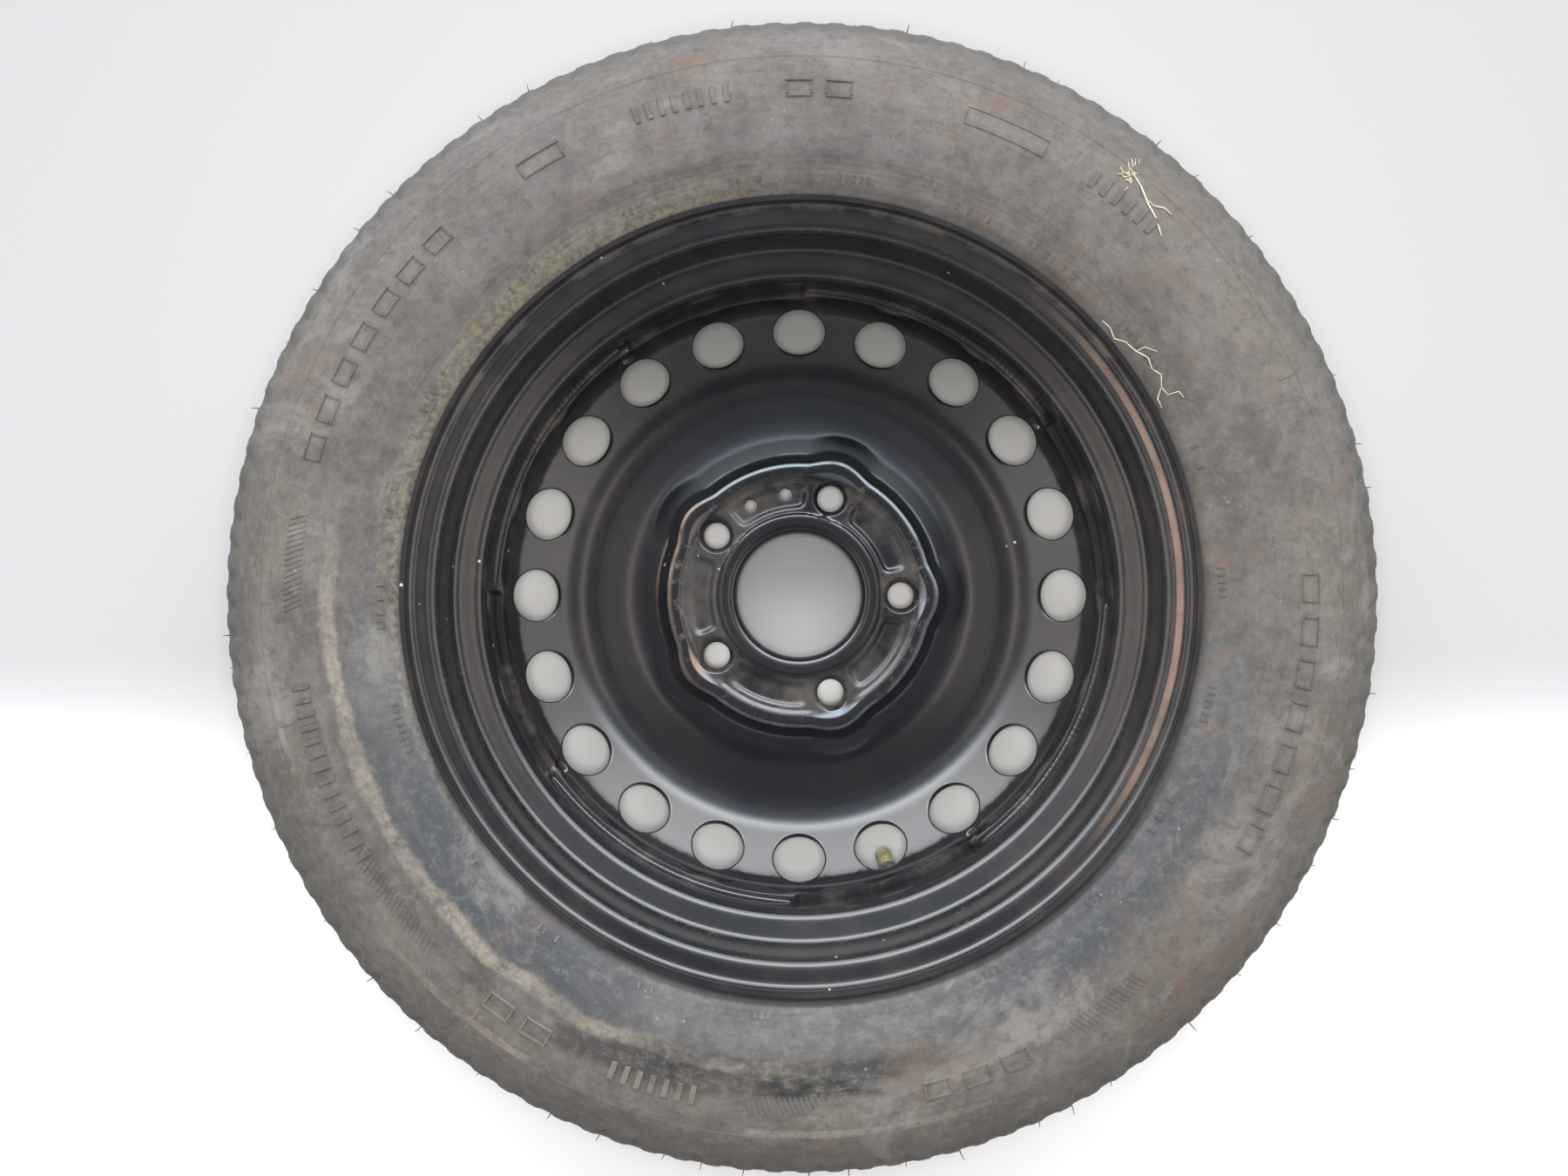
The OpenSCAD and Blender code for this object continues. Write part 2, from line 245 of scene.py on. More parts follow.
class Nodes:
    """Short way to write a material's nodes."""

    def __init__(self, name):
        self.m = bpy.data.materials.new(name)
        self.m.use_nodes = True
        self.t = self.m.node_tree
        self.t.nodes.clear()
        self.out = self.t.nodes.new("ShaderNodeOutputMaterial")
        self.p = self.t.nodes.new("ShaderNodeBsdfPrincipled")
        self.t.links.new(self.p.outputs[0], self.out.inputs[0])
        self.pos = self.t.nodes.new("ShaderNodeTexCoord").outputs["Object"]

    def put(self, socket, value):
        if isinstance(value, bpy.types.NodeSocket):
            self.t.links.new(value, socket)
        elif isinstance(value, (tuple, list)):
            socket.default_value = (*value, 1) if len(value) == 3 and len(socket.default_value) == 4 else value
        else:
            socket.default_value = value

    def set(self, name, value):
        self.put(self.p.inputs[name], value)

    def math(self, op, a, b=0.0, c=0.0, clamp=False):
        n = self.t.nodes.new("ShaderNodeMath")
        n.operation = op
        n.use_clamp = clamp
        for s, x in zip(n.inputs, (a, b, c)):
            self.put(s, x)
        return n.outputs[0]

    def add(self, a, b): return self.math("ADD", a, b)
    def mul(self, a, b): return self.math("MULTIPLY", a, b)
    def sub(self, a, b): return self.math("SUBTRACT", a, b)

    def ramp(self, x, a, b, lo=0.0, hi=1.0):
        n = self.t.nodes.new("ShaderNodeMapRange")
        n.interpolation_type = "SMOOTHSTEP"
        for name, val in (("Value", x), ("From Min", a), ("From Max", b), ("To Min", lo), ("To Max", hi)):
            self.put(n.inputs[name], val)
        return n.outputs[0]

    def band(self, x, a, b, soft):
        return self.mul(self.ramp(x, a - soft, a + soft), self.ramp(x, b - soft, b + soft, 1.0, 0.0))

    def bump_at(self, x, at, width):
        """1 where x is at, falling to 0 within width."""
        return self.ramp(self.math("ABSOLUTE", self.sub(x, at)), 0.0, width, 1.0, 0.0)

    def noise(self, scale, detail=4.0, rough=0.5, vector=None, distort=0.0):
        n = self.t.nodes.new("ShaderNodeTexNoise")
        self.put(n.inputs["Vector"], vector or self.pos)
        self.put(n.inputs["Scale"], scale)
        self.put(n.inputs["Detail"], detail)
        self.put(n.inputs["Roughness"], rough)
        self.put(n.inputs["Distortion"], distort)
        return n.outputs[0]

    def cells(self, scale, vector=None, feature="F1"):
        n = self.t.nodes.new("ShaderNodeTexVoronoi")
        n.feature = feature
        self.put(n.inputs["Vector"], vector or self.pos)
        self.put(n.inputs["Scale"], scale)
        return n.outputs["Distance"]

    def mix(self, f, a, b):
        n = self.t.nodes.new("ShaderNodeMix")
        n.data_type = "RGBA"
        n.clamp_factor = True
        self.put(n.inputs["Factor"], f)
        ab = [s for s in n.inputs if s.type == "RGBA"]
        self.put(ab[0], a)
        self.put(ab[1], b)
        return [s for s in n.outputs if s.type == "RGBA"][0]

    def split(self, v=None):
        n = self.t.nodes.new("ShaderNodeSeparateXYZ")
        self.put(n.inputs[0], v or self.pos)
        return n.outputs

    def join(self, x, y, z):
        n = self.t.nodes.new("ShaderNodeCombineXYZ")
        for s, q in zip(n.inputs, (x, y, z)):
            self.put(s, q)
        return n.outputs[0]

    def polar(self):
        """Radius from the wheel's axis in mm, angle in degrees (-180..180), and height in mm."""
        x, y, z = self.split()
        r = self.math("SQRT", self.add(self.mul(x, x), self.mul(y, y)))
        a = self.math("DEGREES", self.math("ARCTAN2", y, x))
        return self.mul(r, 1000.0), a, self.mul(z, 1000.0)

    def arc_dist(self, a, at):
        """Angle from at, in degrees, without the jump at 180."""
        d = self.add(self.sub(a, at), 540.0)
        return self.math("ABSOLUTE", self.sub(self.math("MODULO", d, 360.0), 180.0))

    def sector(self, a, at, half, soft):
        return self.ramp(self.arc_dist(a, at), half - soft, half + soft, 1.0, 0.0)

    def normal(self, height, strength, distance):
        n = self.t.nodes.new("ShaderNodeBump")
        self.put(n.inputs["Height"], height)
        self.put(n.inputs["Strength"], strength)
        self.put(n.inputs["Distance"], distance)
        return n.outputs[0]


def black_paint(name, dirt=1.0):
    k = Nodes(name)
    r, a, z = k.polar()
    x_, y_, z_ = k.split()
    big = k.noise(9.0, 3.0)
    mid = k.noise(45.0, 5.0, 0.6)
    fine = k.noise(420.0, 3.0, 0.65)
    grit = k.noise(1500.0, 2.0, 0.5)
    # grime: on the mounting ring and pockets, along the sheet's joints, at the corners of the rim
    ring = k.band(r, 66.0, 76.5, 2.0)
    pads = k.band(r, 48.0, 70.0, 2.5)
    joint = k.band(r, 166.0, 171.5, 1.2)
    well = k.band(r, 171.5, 178.0, 3.0)
    seat = k.band(r, 184.5, 190.5, 1.0)
    streaks = k.ramp(mid, 0.42, 0.68)
    g = k.mul(k.mul(ring, k.ramp(k.noise(150.0, 4.0, 0.75), 0.50, 0.70)), k.ramp(k.noise(16.0, 2.0), 0.38, 0.62, 0.25, 0.85))
    g = k.math("MAXIMUM", g, k.mul(k.mul(pads, k.ramp(k.noise(38.0, 5.0, 0.6), 0.30, 0.66)), 0.40))
    g = k.math("MAXIMUM", g, k.mul(k.mul(joint, k.ramp(mid, 0.42, 0.72)), 0.38))
    g = k.math("MAXIMUM", g, k.mul(k.mul(well, streaks), 0.16))
    g = k.math("MAXIMUM", g, k.mul(k.mul(seat, k.ramp(fine, 0.45, 0.7)), 0.30))
    lip = k.mul(k.band(r, 198.0, 201.0, 1.0), k.ramp(z, 44.0, 50.0))
    g = k.math("MAXIMUM", g, k.mul(k.mul(lip, k.ramp(mid, 0.36, 0.60)), k.ramp(y_, -0.06, 0.12, 0.15, 0.75)))
    g = k.mul(g, 0.75 * dirt)
    film = k.add(0.035, k.mul(k.ramp(big, 0.30, 0.75), 0.060))
    film = k.add(film, k.mul(k.mul(k.ramp(mid, 0.5, 0.75), k.ramp(fine, 0.45, 0.65)), 0.06))
    film = k.mul(film, k.ramp(r, 116.0, 136.0, 0.40, 1.0))
    dots = k.mul(k.ramp(k.cells(95.0), 0.10, 0.055), k.ramp(k.noise(14.0, 2.0), 0.60, 0.64))
    specks = k.mul(k.ramp(k.cells(240.0), 0.085, 0.045), k.ramp(k.noise(23.0, 2.0), 0.52, 0.60))
    dust = k.math("MAXIMUM", k.math("MAXIMUM", g, film), k.mul(specks, 0.35), )
    base = k.mix(k.ramp(big, 0.3, 0.7), (0.0062, 0.0072, 0.0098), (0.0088, 0.0096, 0.0120))
    tint = k.mix(k.ramp(k.noise(60.0, 3.0), 0.4, 0.65), (0.115, 0.108, 0.100), (0.215, 0.170, 0.130))
    col = k.mix(dust, base, tint)
    _, ny, nz = k.split(k.t.nodes.new("ShaderNodeNewGeometry").outputs["Normal"])
    # painted highlight: a light band on the mounting face's outer edge where the surface tilts towards +Y, warm on the
    # left and cool on the right
    painted_edge_highlight = k.mul(k.mul(k.ramp(nz, 0.80, 0.87), k.ramp(nz, 0.985, 0.955)), k.band(r, 71.0, 84.0, 1.5))
    painted_edge_highlight = k.mul(painted_edge_highlight, k.ramp(ny, -0.12, 0.22, 0.22, 1.0))
    col = k.mix(k.mul(painted_edge_highlight, k.ramp(k.noise(55.0, 4.0, 0.6), 0.30, 0.55, 0.25, 0.75)), col, k.mix(k.ramp(x_, -0.062, -0.048), (0.42, 0.30, 0.22), (0.34, 0.38, 0.44)))
    # painted reflection: a coppery band on the rim flange's inner edge, on the right side
    edge_ = k.mul(k.mul(k.band(r, 193.0, 196.6, 0.7), k.ramp(z, 40.0, 44.0)), k.sector(a, 4.0, 36.0, 16.0))
    col = k.mix(k.mul(edge_, k.ramp(mid, 0.30, 0.60, 0.45, 0.85)), col, (0.240, 0.165, 0.125))
    col = k.mix(k.mul(dots, 0.85), col, (0.52, 0.51, 0.48))
    k.set("Base Color", col)
    rough = k.add(k.add(0.10, k.mul(mid, 0.06)), k.mul(dust, 0.75))
    rough = k.add(rough, k.mul(k.mul(k.band(r, 79.0, 94.0, 3.0), k.ramp(nz, 0.97, 0.90)), 0.22))
    k.set("Roughness", k.math("MINIMUM", rough, 0.9))
    k.set("Specular IOR Level", 0.85)
    h = k.add(k.mul(k.noise(70.0, 2.0), 0.55), k.mul(k.noise(320.0, 3.0, 0.6), 0.10))
    h = k.add(h, k.mul(g, k.mul(grit, 0.25)))
    k.set("Normal", k.normal(h, 0.16, 0.0006))
    return k.m


def tyre_rubber(name, marks=False):
    k = Nodes(name)
    r, a, z = k.polar()
    x, y, _ = k.split()
    inboard = k.ramp(z, -4.0, 4.0)
    big = k.noise(7.0, 4.0, 0.55)
    mid = k.noise(32.0, 6.0, 0.62)
    fine = k.noise(300.0, 3.0, 0.65)
    around = k.join(k.mul(x, 1.0), k.mul(y, 1.0), k.mul(r, 0.0035))
    swirl = k.noise(26.0, 5.0, 0.6, around, 0.8)
    grey = k.mix(k.ramp(mid, 0.35, 0.68), (0.122, 0.112, 0.102), (0.172, 0.160, 0.146))
    lilac = k.mix(k.ramp(mid, 0.35, 0.68), (0.150, 0.138, 0.134), (0.212, 0.196, 0.190))
    warm = k.mix(k.ramp(mid, 0.35, 0.68), (0.140, 0.126, 0.110), (0.196, 0.178, 0.158))
    cool = (0.086, 0.094, 0.104)
    # the upper part is paler and slightly lilac, the right side browner, the lower part greyer
    top = k.ramp(y, -0.02, 0.25)
    right = k.sector(a, 5.0, 45.0, 28.0)
    col = k.mix(top, grey, lilac)
    col = k.mix(k.mul(right, 0.8), col, warm)
    # bare rubber near the bead, low on the left and right
    lower = k.ramp(y, 0.08, -0.10)
    col = k.mix(k.mul(k.mul(k.ramp(r, 240.0, 222.0), lower), 0.55), col, k.mix(k.ramp(mid, 0.35, 0.65), (0.118, 0.124, 0.132), (0.182, 0.190, 0.198)))
    outer = k.mul(k.ramp(r, 240.0, 262.0), k.ramp(k.noise(15.0, 5.0, 0.6), 0.34, 0.62))
    col = k.mix(k.mul(outer, 0.45), col, (0.150, 0.122, 0.098))
    bare = k.mul(k.band(r, 206.0, 236.0, 9.0), k.math("MAXIMUM", k.sector(a, -135.0, 26.0, 14.0), k.sector(a, -42.0, 24.0, 14.0)))
    col = k.mix(k.mul(bare, k.ramp(swirl, 0.28, 0.62, 0.55, 1.0)), col, (0.070, 0.078, 0.088))
    smear = k.mul(k.band(r, 233.0, 251.0, 3.0), k.sector(a, -94.0, 18.0, 6.0))
    col = k.mix(k.mul(smear, k.ramp(k.noise(20.0, 4.0, 0.6, k.join(k.mul(a, 0.02), k.mul(r, 0.01), 0.0)), 0.28, 0.50)), col, (0.020, 0.021, 0.023))
    shade = k.mul(k.band(k.add(r, k.mul(k.sub(mid, 0.5), 10.0)), 242.0, 255.0, 2.5), k.sector(a, -118.0, 26.0, 10.0))
    col = k.mix(k.mul(shade, k.ramp(k.noise(22.0, 5.0, 0.6), 0.34, 0.58, 0.1, 0.75)), col, (0.045, 0.042, 0.040))
    # sand-coloured dirt: a band around the lower left, a thin line below the shoulder
    arc_low = k.sector(a, -140.0, 46.0, 14.0)
    edge_r = k.add(r, k.mul(k.sub(k.noise(30.0, 6.0, 0.66), 0.5), 15.0))
    band = k.mul(k.mul(k.band(edge_r, 233.0, 240.5, 1.8), arc_low), k.ramp(k.noise(10.0, 4.0), 0.36, 0.54, 0.30, 1.0))
    line = k.mul(k.band(k.add(r, k.mul(k.sub(k.noise(50.0, 4.0), 0.5), 2.0)), 268.0, 271.8, 0.8), k.mul(k.sector(a, -125.0, 52.0, 14.0), k.ramp(k.noise(13.0, 4.0), 0.40, 0.52, 0.0, 0.65)))
    patch = k.ramp(k.noise(18.0, 6.0, 0.68, None, 0.6), 0.44, 0.60)
    sand = k.mul(k.math("MAXIMUM", band, line), k.ramp(k.noise(34.0, 5.0, 0.7), 0.30, 0.50))
    sand = k.math("MAXIMUM", sand, k.mul(k.mul(patch, k.band(r, 236.0, 275.0, 8.0)), 0.18))
    col = k.mix(k.mul(sand, inboard), col, k.mix(k.ramp(fine, 0.35, 0.65), (0.265, 0.229, 0.188), (0.385, 0.337, 0.275)))
    green = k.mul(k.mul(k.band(r, 206.0, 216.0, 3.0), k.sector(a, 140.0, 40.0, 15.0)), k.ramp(fine, 0.42, 0.62))
    col = k.mix(k.mul(green, 0.55), col, (0.330, 0.300, 0.150))
    # pale scuffs and general dust
    scuff = k.mul(k.ramp(k.noise(11.0, 6.0, 0.7, None, 1.2), 0.55, 0.68), 0.52)
    col = k.mix(scuff, col, (0.330, 0.318, 0.300))
    dark = k.mul(k.ramp(k.noise(16.0, 6.0, 0.65, None, 0.4), 0.55, 0.70), 0.48)
    col = k.mix(dark, col, (0.095, 0.092, 0.088))
    speck = k.mul(k.ramp(k.cells(130.0), 0.085, 0.04), k.ramp(k.noise(31.0, 2.0), 0.56, 0.62))
    col = k.mix(k.mul(speck, 0.75), col, (0.47, 0.45, 0.41))
    ring_noise = k.noise(1.0, 6.0, 0.7, k.join(k.mul(a, 0.12), k.mul(r, 0.55), 0.0))
    col = k.mix(k.mul(k.ramp(ring_noise, 0.50, 0.72), 0.42), col, (0.085, 0.080, 0.078))
    streak = k.noise(1.0, 7.0, 0.75, k.join(k.mul(a, 0.35), k.mul(r, 0.16), 3.0))
    col = k.mix(k.mul(k.ramp(streak, 0.52, 0.70), 0.38), col, (0.265, 0.245, 0.225))
    salt = k.noise(170.0, 4.0, 0.8)
    col = k.mix(k.mul(k.ramp(salt, 0.50, 0.66), 0.34), col, (0.270, 0.250, 0.222))
    col = k.mix(k.mul(k.ramp(salt, 0.48, 0.34), 0.40), col, (0.070, 0.067, 0.065))
    rust = k.mul(k.ramp(k.noise(24.0, 7.0, 0.7, None, 0.9), 0.53, 0.66), k.ramp(k.noise(5.0, 2.0), 0.42, 0.6))
    col = k.mix(k.mul(rust, 0.58), col, (0.200, 0.132, 0.092))
    col = k.mix(k.mul(k.ramp(r, 286.0, 291.0), 0.20), col, (0.100, 0.104, 0.094))
    shoulder = k.ramp(r, 288.0, 297.0)
    col = k.mix(k.mul(shoulder, 0.50), col, (0.095, 0.099, 0.090))
    if marks:
        col = k.mix(0.22, col, (0.070, 0.066, 0.062))
        muddy = k.mul(k.sector(a, -108.0, 34.0, 12.0), k.ramp(mid, 0.32, 0.58, 0.2, 0.75))
        col = k.mix(muddy, col, (0.270, 0.240, 0.195))
    gap = k.band(r, 202.0, 208.6, 0.8)
    # painted shadow: the gap between tyre and rim flange is nearly black on the lower right; on the upper left it
    # carries pale dirt
    col = k.mix(k.mul(k.mul(gap, k.sector(a, -72.0, 42.0, 22.0)), 0.80), col, (0.022, 0.022, 0.023))
    col = k.mix(k.mul(k.mul(gap, k.sector(a, 150.0, 60.0, 25.0)), k.ramp(fine, 0.36, 0.60, 0.0, 0.42)), col, (0.44, 0.39, 0.30))
    col = k.mix(k.add(k.ramp(y, 0.20, -0.20, 0.29, 0.34), k.ramp(r, 264.0, 236.0, 0.0, 0.085)), col, (0.020, 0.020, 0.020))
    k.set("Base Color", col)
    k.set("Roughness", k.add(0.70, k.mul(fine, 0.16)))
    k.set("Specular IOR Level", 0.32)
    rib = k.math("SINE", k.mul(r, 2.3))
    h = k.add(k.mul(fine, 0.55), k.mul(mid, 0.45))
    h = k.add(h, k.mul(salt, 0.5))
    h = k.add(h, k.mul(ring_noise, 0.35))
    h = k.add(h, k.mul(k.mul(rib, k.band(r, 206.0, 222.0, 2.0)), 0.10))
    k.set("Normal", k.normal(h, 0.42, 0.0009))
    return k.m


def plain(name, colour, rough, metal=0.0, mottle=0.25, scale=300.0, bump=0.15, dust=None):
    k = Nodes(name)
    n = k.noise(scale, 4.0, 0.6)
    c2 = tuple(min(1.0, q * (1 + mottle)) for q in colour)
    c1 = tuple(q * (1 - mottle) for q in colour)
    col = k.mix(k.ramp(n, 0.3, 0.7), c1, c2)
    if dust:
        col = k.mix(k.mul(k.ramp(k.noise(scale * 0.6, 6.0, 0.7), 0.42, 0.62), 0.6), col, dust)
    k.set("Base Color", col)
    k.set("Metallic", metal)
    k.set("Roughness", k.add(rough - 0.06, k.mul(n, 0.12)))
    k.set("Normal", k.normal(n, bump, 0.0003))
    return k.m


PAINT = black_paint("gloss_black_paint")
PAINT_RIM = black_paint("gloss_black_paint_rim", 0.8)
RUBBER = tyre_rubber("dusty_tyre_rubber")
RUBBER_MARKS = tyre_rubber("dusty_tyre_rubber_raised", True)
VALVE_RUBBER = plain("valve_rubber", (0.022, 0.022, 0.022), 0.62, dust=(0.16, 0.145, 0.12))
BRASS = plain("dull_brass", (0.50, 0.36, 0.14), 0.34, 1.0)
GASKET = plain("red_gasket", (0.42, 0.05, 0.04), 0.5)
SPRING = plain("spring_steel", (0.55, 0.55, 0.57), 0.25, 1.0)
CAP = plain("olive_cap", (0.150, 0.135, 0.060), 0.60, dust=(0.34, 0.31, 0.18))
STRAW = plain("dry_straw", (0.56, 0.50, 0.38), 0.8, scale=900.0)

# --------------------------------------------------------------------- rim

RIM_T = 2.5
hook = arc(196.7, 51.95, 5.0, 20, -90, 9)
mid = rounded([
    [196.7, 46.95, 0], [188.1, 46.95, 6.5, 8], [186.09, 23.7, 6.0, 7], [170.5, 18.5, 7.5, 8],
    [170.5, -17.9, 6, 6], [186.44, -27.5, 3.5, 5], [188.1, -46.95, 5, 6], [196.7, -46.95, 0]])
rim_in = np.vstack([hook, mid[1:-1], (hook * [1, -1])[::-1]])
rim_in = fill_in(rim_in, lambda r, z: 3.4 if z > -20 else (2.2 if z > -28 and r < 187 else 4.5))
rim_out = beside(rim_in, RIM_T)


def line_surface(p, wobble=0.0):
    rr, zz = p[:, 0], p[:, 1]
    idx = np.arange(len(p), dtype=float)

    def S(th, v):
        r = np.interp(v, idx, rr)
        z = np.interp(v, idx, zz)
        return np.stack([r * np.cos(th), r * np.sin(th), z], -1)
    return S


def frame_of(angle, r, z, tilt):
    """Centre, axis and first direction of a hole; the axis is tilted from +Z towards the wheel's axis by tilt degrees."""
    ca, sa = math.cos(angle), math.sin(angle)
    radial = np.array([ca, sa, 0.0])
    tang = np.array([-sa, ca, 0.0])
    t = rad(tilt)
    axis = -radial * math.sin(t) + np.array([0, 0, 1.0]) * math.cos(t)
    return radial * r + np.array([0, 0, z]), axis, tang


def rows_between(p, lo, hi, key):
    """First and last row whose key value lies in lo..hi."""
    j = [i for i, q in enumerate(p) if lo <= key(q) <= hi]
    return j[0], j[-1]


b = Builder()
NR = 480
VA = rad(-72)
vc, vax, ve1 = frame_of(VA, 178.0, -22.5, 0)
vdir = np.array([-math.sin(rad(31.6)) * math.cos(VA), -math.sin(rad(31.6)) * math.sin(VA), -math.cos(rad(31.6))])
near_wall = [i for i, q in enumerate(rim_in) if -27.0 < q[1] < -18.6 and q[0] > 170.9]
j0, j1 = near_wall[0], near_wall[-1]
ic = round((VA % TAU) / TAU * NR)
hole_in = dict(block=(ic - 4, ic + 4, j0, j1), c=vc, axis=vdir, e1=ve1, between=0,
               rings=[(6.2, "s", 0.0), (5.75, "s", 0.4)])
rows_in, ends_in = grid_with_holes(b, line_surface(rim_in), NR, len(rim_in), [hole_in])
hole_out = dict(hole_in, axis=-vdir)
rows_out, ends_out = grid_with_holes(b, line_surface(rim_out), NR, len(rim_out), [hole_out])
for (r0, p0), (r1, p1) in zip(ends_in, ends_out):
    b.quads(r0, r1)
b.quads(rows_in[0], rows_out[0])
b.quads(rows_in[-1], rows_out[-1])
b.mesh("rim_detailed", PAINT_RIM, "wheel", ("rim",), 50)

# -------------------------------------------------------------------- disc

DT = 3.8
MZ = -33.5
PZ = -34.7
CONE = math.tan(rad(40))
disc = rounded([
    [166.7, -7.5, 0],
    [166.7, -29.2 + 14.5 * CONE, 18, 9],
    [130.5, -29.2 - 21.7 * CONE, 30, 9],
    [98, MZ - 12.1, 42, 6],
    [83.6, MZ - 6.4, 9, 6],
    [76.2, MZ, 6.0, 8],
    [70.2, MZ, 5.0, 5],
    [67.2, PZ - 0.7, 1.6, 3],
    [48.9, PZ - 0.7, 1.6, 3],
    [46.4, MZ, 4.5, 5],
    [36.3, MZ, 6.5, 10],
    [36.3, MZ - 11, 0]])
disc = fill_in(disc, lambda r, z: 2.9 if r > 120 else (5.0 if r > 84 else (1.4 if r > 47 else 2.6)))
SK = 6
skirt = np.array([[166.7, 0.0]] * SK)
disc_in = np.vstack([skirt, disc[1:]])
disc_out = np.vstack([skirt + [DT, 0], beside(disc, DT)[1:]])
NB = 360
BOLTS = [rad(72 * i) for i in range(5)]
SKIRT_S = np.array([0.0, 0.06, 0.2, 0.45, 0.72, 0.95])


def skirt_top(th):
    a = np.degrees(th) % 90.0
    # long edges from 35 to 90 degrees of each quarter, lower between them
    up = smooth(34.0, 35.4, a) * (1 - smooth(88.9, 90.0, a)) + 0.0
    wave = 0.9 * np.sin(th * 4 + 0.6) * up
    return -6.0 + 4.5 * up + wave * 0.6


def lobe(th):
    out = 0
    for q in BOLTS:
        d = np.abs(wrap(th - q))
        out = out + np.where(d < rad(15), np.cos(np.clip(d / rad(15), 0, 1) * math.pi / 2) ** 1.5, 0)
    return out


def pocket(th, r, wide=0.0, soft_side=3.0, soft=1.7):
    k = np.round((np.degrees(th) - 36) / 72) * 72 + 36
    d = np.abs(np.degrees(th) - k)
    side = (22.5 - d) * rad(1) * r + wide
    inner, outer = r - 51 + wide, 65.3 - r + wide
    e = 2.2
    q = np.stack([side / soft_side * 1.0, inner / soft, outer / soft])
    m = -np.log(np.exp(-q * e).sum(0)) / e
    return smooth(0.0, 1.0, m + 0.12)


def disc_surface(p, outer):
    rr, zz = p[:, 0], p[:, 1]
    idx = np.arange(len(p), dtype=float)

    def S(th, v):
        th, v = np.asarray(th, float), np.asarray(v, float)
        r = np.interp(v, idx, rr)
        z = np.interp(v, idx, zz)
        top = skirt_top(th)
        s = np.interp(v, np.arange(SK), SKIRT_S)
        z = np.where(v < SK, np.where(v <= SK - 1, top + (-7.5 - top) * s,
                                      (top + (-7.5 - top) * SKIRT_S[-1]) * (SK - v) + zz[SK] * (v - SK + 1)), z)
        # small round edge at the skirt's end
        round_off = np.interp(v, [0, 1, 2], [0.5, 0.0, 0.0])
        r = r + (round_off if not outer else -round_off)
        # lobes: the mounting face bulges outwards at each bolt
        w = smooth(63, 71, r) * (1 - smooth(84, 104, r))
        push = 4.4 * lobe(th) * w
        if outer:
            dz = -3.0 * pocket(th, r, 1.6, 4.0, 2.4) * (1 - smooth(69, 71, r)) * smooth(46, 48, r)
        else:
            dz = -2.5 * pocket(th, r, 0.2, 4.6, 2.9) * (1 - smooth(66.5, 68, r)) * smooth(48, 50, r)
        r = r + push
        return np.stack([r * np.cos(th), r * np.sin(th), z + dz], -1)
    return S


def col(deg):
    return round((deg % 360) / 360 * NB)


S_in, S_out = disc_surface(disc_in, False), disc_surface(disc_out, True)
holes_in, holes_out = [], []


def rows_by_r(p, lo, hi):
    j = [i for i, q in enumerate(p) if i >= SK and lo <= q[0] <= hi]
    return j[0], j[-1]


def edge(R, e, steps=3):
    out = []
    for i in range(steps + 1):
        t = i / steps * math.pi / 2
        out.append((R + e * (1 - math.sin(t)), "s", e * (1 - math.cos(t))))
    return out


low_row = [i for i, q in enumerate(disc_in) if i >= SK and q[1] < -17.2][0]

# vent holes
for i in range(20):
    deg = 90 + 18 * i
    c, ax, e1 = frame_of(rad(deg), 152.2, -29.2, 40)
    ic = col(deg)
    j0, j1 = low_row, rows_by_r(disc_in, 137.8, 166.3)[1]
    holes_in.append(dict(block=(ic - 7, ic + 7, j0, j1), c=c, axis=ax, e1=e1, between=1, rings=[(16.4, "s", 0.0)] + edge(15.0, 0.9)))
    holes_out.append(dict(block=(ic - 7, ic + 7, j0, j1), c=c, axis=-ax, e1=e1, between=1, rings=[(16.4, "s", 0.0)] + edge(15.0, 0.5, 2)))
# bolt holes
for q in BOLTS:
    deg = math.degrees(q)
    c, ax, e1 = frame_of(q, 60.0, 0.0, 0)
    ic = col(deg)
    j0, j1 = rows_by_r(disc_in, 46.4, 73.6)
    funnel = [(14.0, "s", 0.0), (12.4, "s", 0.0), (11.2, "s", 0.0), (10.7, "s", 0.12), (10.2, "s", 0.45),
              (9.3, "s", 1.3), (8.5, "z", PZ - 2.9), (7.9, "z", PZ - 4.2), (7.55, "z", PZ - 6.0), (7.5, "z", MZ - 9.5), (7.5, "z", MZ - 11.7)]
    holes_in.append(dict(block=(ic - 14, ic + 14, j0, j1), c=c, axis=ax, e1=e1, between=2, rings=funnel))
    collar = [(14.2, "s", 0.0), (13.4, "s", 0.5), (12.6, "z", -(MZ - 8.6)), (12.2, "z", -(MZ - 10.5)), (11.6, "z", -(MZ - 15.0)),
              (11.2, "z", -(MZ - 15.4)), (10.3, "z", -(MZ - 15.5)), (9.6, "z", -(MZ - 15.2)), (7.6, "z", -(MZ - 12.1))]
    j2, j3 = rows_by_r(disc_out, 44.2, 76.4)
    # same number of points on both sides: the outer block has the same size
    j2 = max(SK, (j0 + j1) // 2 - (j1 - j0) // 2)
    j3 = j2 + (j1 - j0)
    holes_out.append(dict(block=(ic - 14, ic + 14, j2, j3), c=c, axis=-ax, e1=e1, between=1, rings=collar))
# two small locating holes
for deg in (97.6, 118.4):
    c, ax, e1 = frame_of(rad(deg), 60.0, 0.0, 0)
    ic = col(deg)
    j0, j1 = rows_by_r(disc_in, 54.2, 65.8)
    holes_in.append(dict(block=(ic - 6, ic + 6, j0, j1), c=c, axis=ax, e1=e1, between=0, rings=edge(3.75, 0.5)))
    holes_out.append(dict(block=(ic - 6, ic + 6, j0, j1), c=c, axis=-ax, e1=e1, between=0, rings=edge(3.75, 0.3, 3)))
